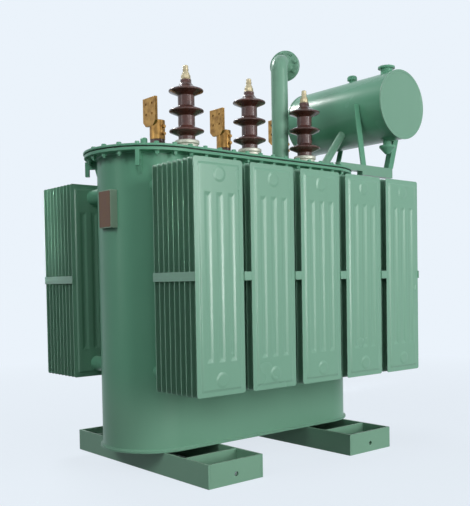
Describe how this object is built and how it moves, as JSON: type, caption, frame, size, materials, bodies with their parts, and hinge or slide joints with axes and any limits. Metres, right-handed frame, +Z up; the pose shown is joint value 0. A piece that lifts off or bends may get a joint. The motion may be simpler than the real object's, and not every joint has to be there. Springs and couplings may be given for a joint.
{
  "type": "oil-filled power transformer",
  "caption": "Oblong oil tank on two skid rails with fluted panel radiators front and rear, porcelain bushings, brass terminal flags, a relief vent and a round oil conservator.",
  "frame": {"origin": "centre of the whole object's footprint box, at floor level", "axes": "+X along the tank towards the conservator, +Y to the rear radiators, +Z up"},
  "size_m": [2.3761, 1.566, 2.571],
  "materials": {
    "tank_paint": "satin green paint",
    "radiator_paint": "satin green paint",
    "rail_paint": "satin green paint",
    "gasket": "black oil-resistant rubber",
    "clamp_metal": "dull cast alloy",
    "porcelain": "brown glaze",
    "brass": "dull brass",
    "copper_plate": "tarnished blank plate"
  },
  "bodies": {
    "root": {"conservator_beams": "tank_paint", "conservator_front_end": "tank_paint", "conservator_legs": "tank_paint", "conservator_rear_end": "tank_paint", "conservator_shell": "tank_paint", "cover_gasket": "gasket", "filler_cap": "tank_paint", "front_bank_ties": "tank_paint", "front_edge_straps": "tank_paint", "front_header_stubs": "tank_paint", "front_radiator_1": "radiator_paint", "front_radiator_2": "radiator_paint", "front_radiator_3": "radiator_paint", "front_radiator_4": "radiator_paint", "front_radiator_5": "radiator_paint", "hv_clamps": "clamp_metal", "hv_insulators": "porcelain", "hv_terminals": "brass", "inspection_cap": "tank_paint", "left_rail_cross_plates": "rail_paint", "left_rail_ends": "rail_paint", "left_rail_webs": "rail_paint", "lifting_hooks": "tank_paint", "lv_insulators": "porcelain", "lv_terminals": "brass", "nameplate": "copper_plate", "nameplate_bracket": "tank_paint", "oil_pipe": "tank_paint", "oil_sump": "tank_paint", "rear_bank_ties": "tank_paint", "rear_edge_straps": "tank_paint", "rear_header_stubs": "tank_paint", "rear_radiator_1": "radiator_paint", "rear_radiator_2": "radiator_paint", "rear_radiator_3": "radiator_paint", "rear_radiator_4": "radiator_paint", "rear_radiator_5": "radiator_paint", "right_rail_cross_plates": "rail_paint", "right_rail_ends": "rail_paint", "right_rail_webs": "rail_paint", "tank_body": "tank_paint", "tank_bottom_plate": "tank_paint", "tank_cover": "tank_paint", "tank_flange": "tank_paint", "thermometer_pocket": "tank_paint", "vent_disc": "tank_paint", "vent_foot": "tank_paint", "vent_pipe": "tank_paint"}
  },
  "joints": []
}
